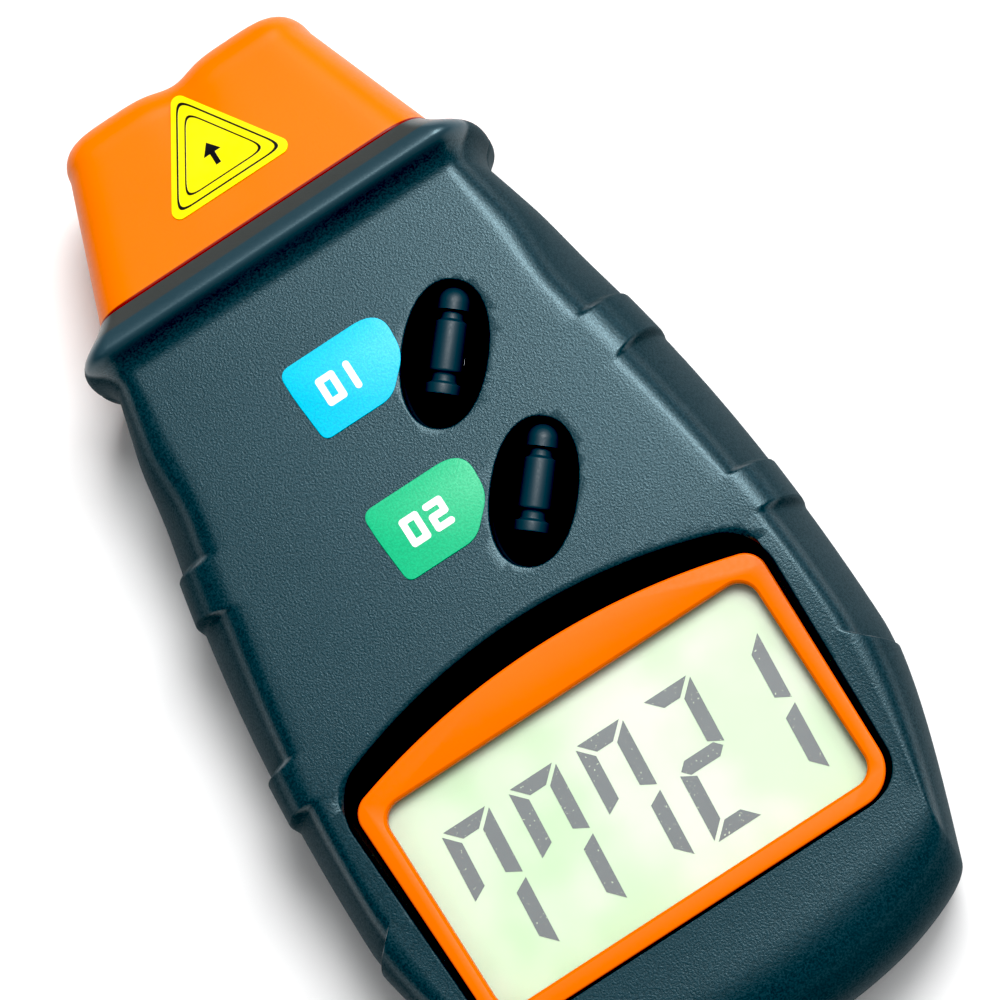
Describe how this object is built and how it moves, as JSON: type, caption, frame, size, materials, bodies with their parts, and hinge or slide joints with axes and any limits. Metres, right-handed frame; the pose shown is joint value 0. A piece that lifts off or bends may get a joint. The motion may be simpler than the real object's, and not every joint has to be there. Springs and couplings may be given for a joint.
{
  "type": "laser tachometer",
  "caption": "Hand-held laser tachometer: grey two-shell body with finger grips and collar, orange optics nose, two sprung buttons, framed display and sliding battery door.",
  "frame": {"origin": "middle of the bounding box on the plane that the back rests on", "axes": "+Z out of the display face, +Y towards the nose, +X across the width to the right of a reader"},
  "size_m": [0.0696, 0.131, 0.029],
  "materials": {
    "shell": "fine grain",
    "orange_plastic": "satin",
    "frame_plastic": "gloss",
    "button_plastic": "satin",
    "clear_window": "clear",
    "display_glass": "pale green reflector",
    "display_ink": "dark segments",
    "white_plastic": "moulded",
    "ribbon": "amber film",
    "board": "green lacquer",
    "chip": "moulded",
    "steel": "plain",
    "capacitor": "sleeve",
    "brass": "turned brass",
    "black_plastic": "moulded",
    "lens_glass": "clear",
    "red_window": "tinted",
    "lead_wire": "insulated",
    "battery_case": "plain sleeve",
    "blue_print": "printed film",
    "green_print": "printed film",
    "yellow_print": "printed film"
  },
  "bodies": {
    "case": {"front_shell": "shell", "rear_shell": "shell", "nose_cap": "orange_plastic", "display_frame": "frame_plastic", "display_window": "clear_window", "display_panel": "display_glass", "display_digits": "display_ink", "display_carrier": "white_plastic", "display_ribbon": "ribbon", "circuit_board": "board", "main_chip": "chip", "crystal": "steel", "capacitors": "capacitor", "mem_switch": "chip", "test_switch": "chip", "optics_carrier": "black_plastic", "laser_barrel": "brass", "laser_window": "red_window", "receiver_tube": "black_plastic", "receiver_lens": "lens_glass", "photodiode": "black_plastic", "optics_leads": "lead_wire", "battery": "battery_case", "battery_snap": "black_plastic", "battery_leads": "lead_wire", "case_screws": "steel", "board_screws": "steel", "blue_tag": "blue_print", "green_tag": "green_print", "pointer_sticker": "yellow_print"},
    "mem_key": {"mem_button": "button_plastic", "mem_plunger": "steel"},
    "test_key": {"test_button": "button_plastic", "test_plunger": "steel"},
    "door": {"battery_door": "shell"}
  },
  "joints": [
    {"name": "mem_press", "type": "slide", "parent": "case", "child": "mem_key", "axis": [0, 0, -1], "range_m": [0, 0.0006], "stiffness_N_per_m": 800},
    {"name": "test_press", "type": "slide", "parent": "case", "child": "test_key", "axis": [0, 0, -1], "range_m": [0, 0.0006], "stiffness_N_per_m": 800},
    {"name": "door_slide", "type": "slide", "parent": "case", "child": "door", "axis": [0, -1, 0], "range_m": [0, 0.056]}
  ]
}
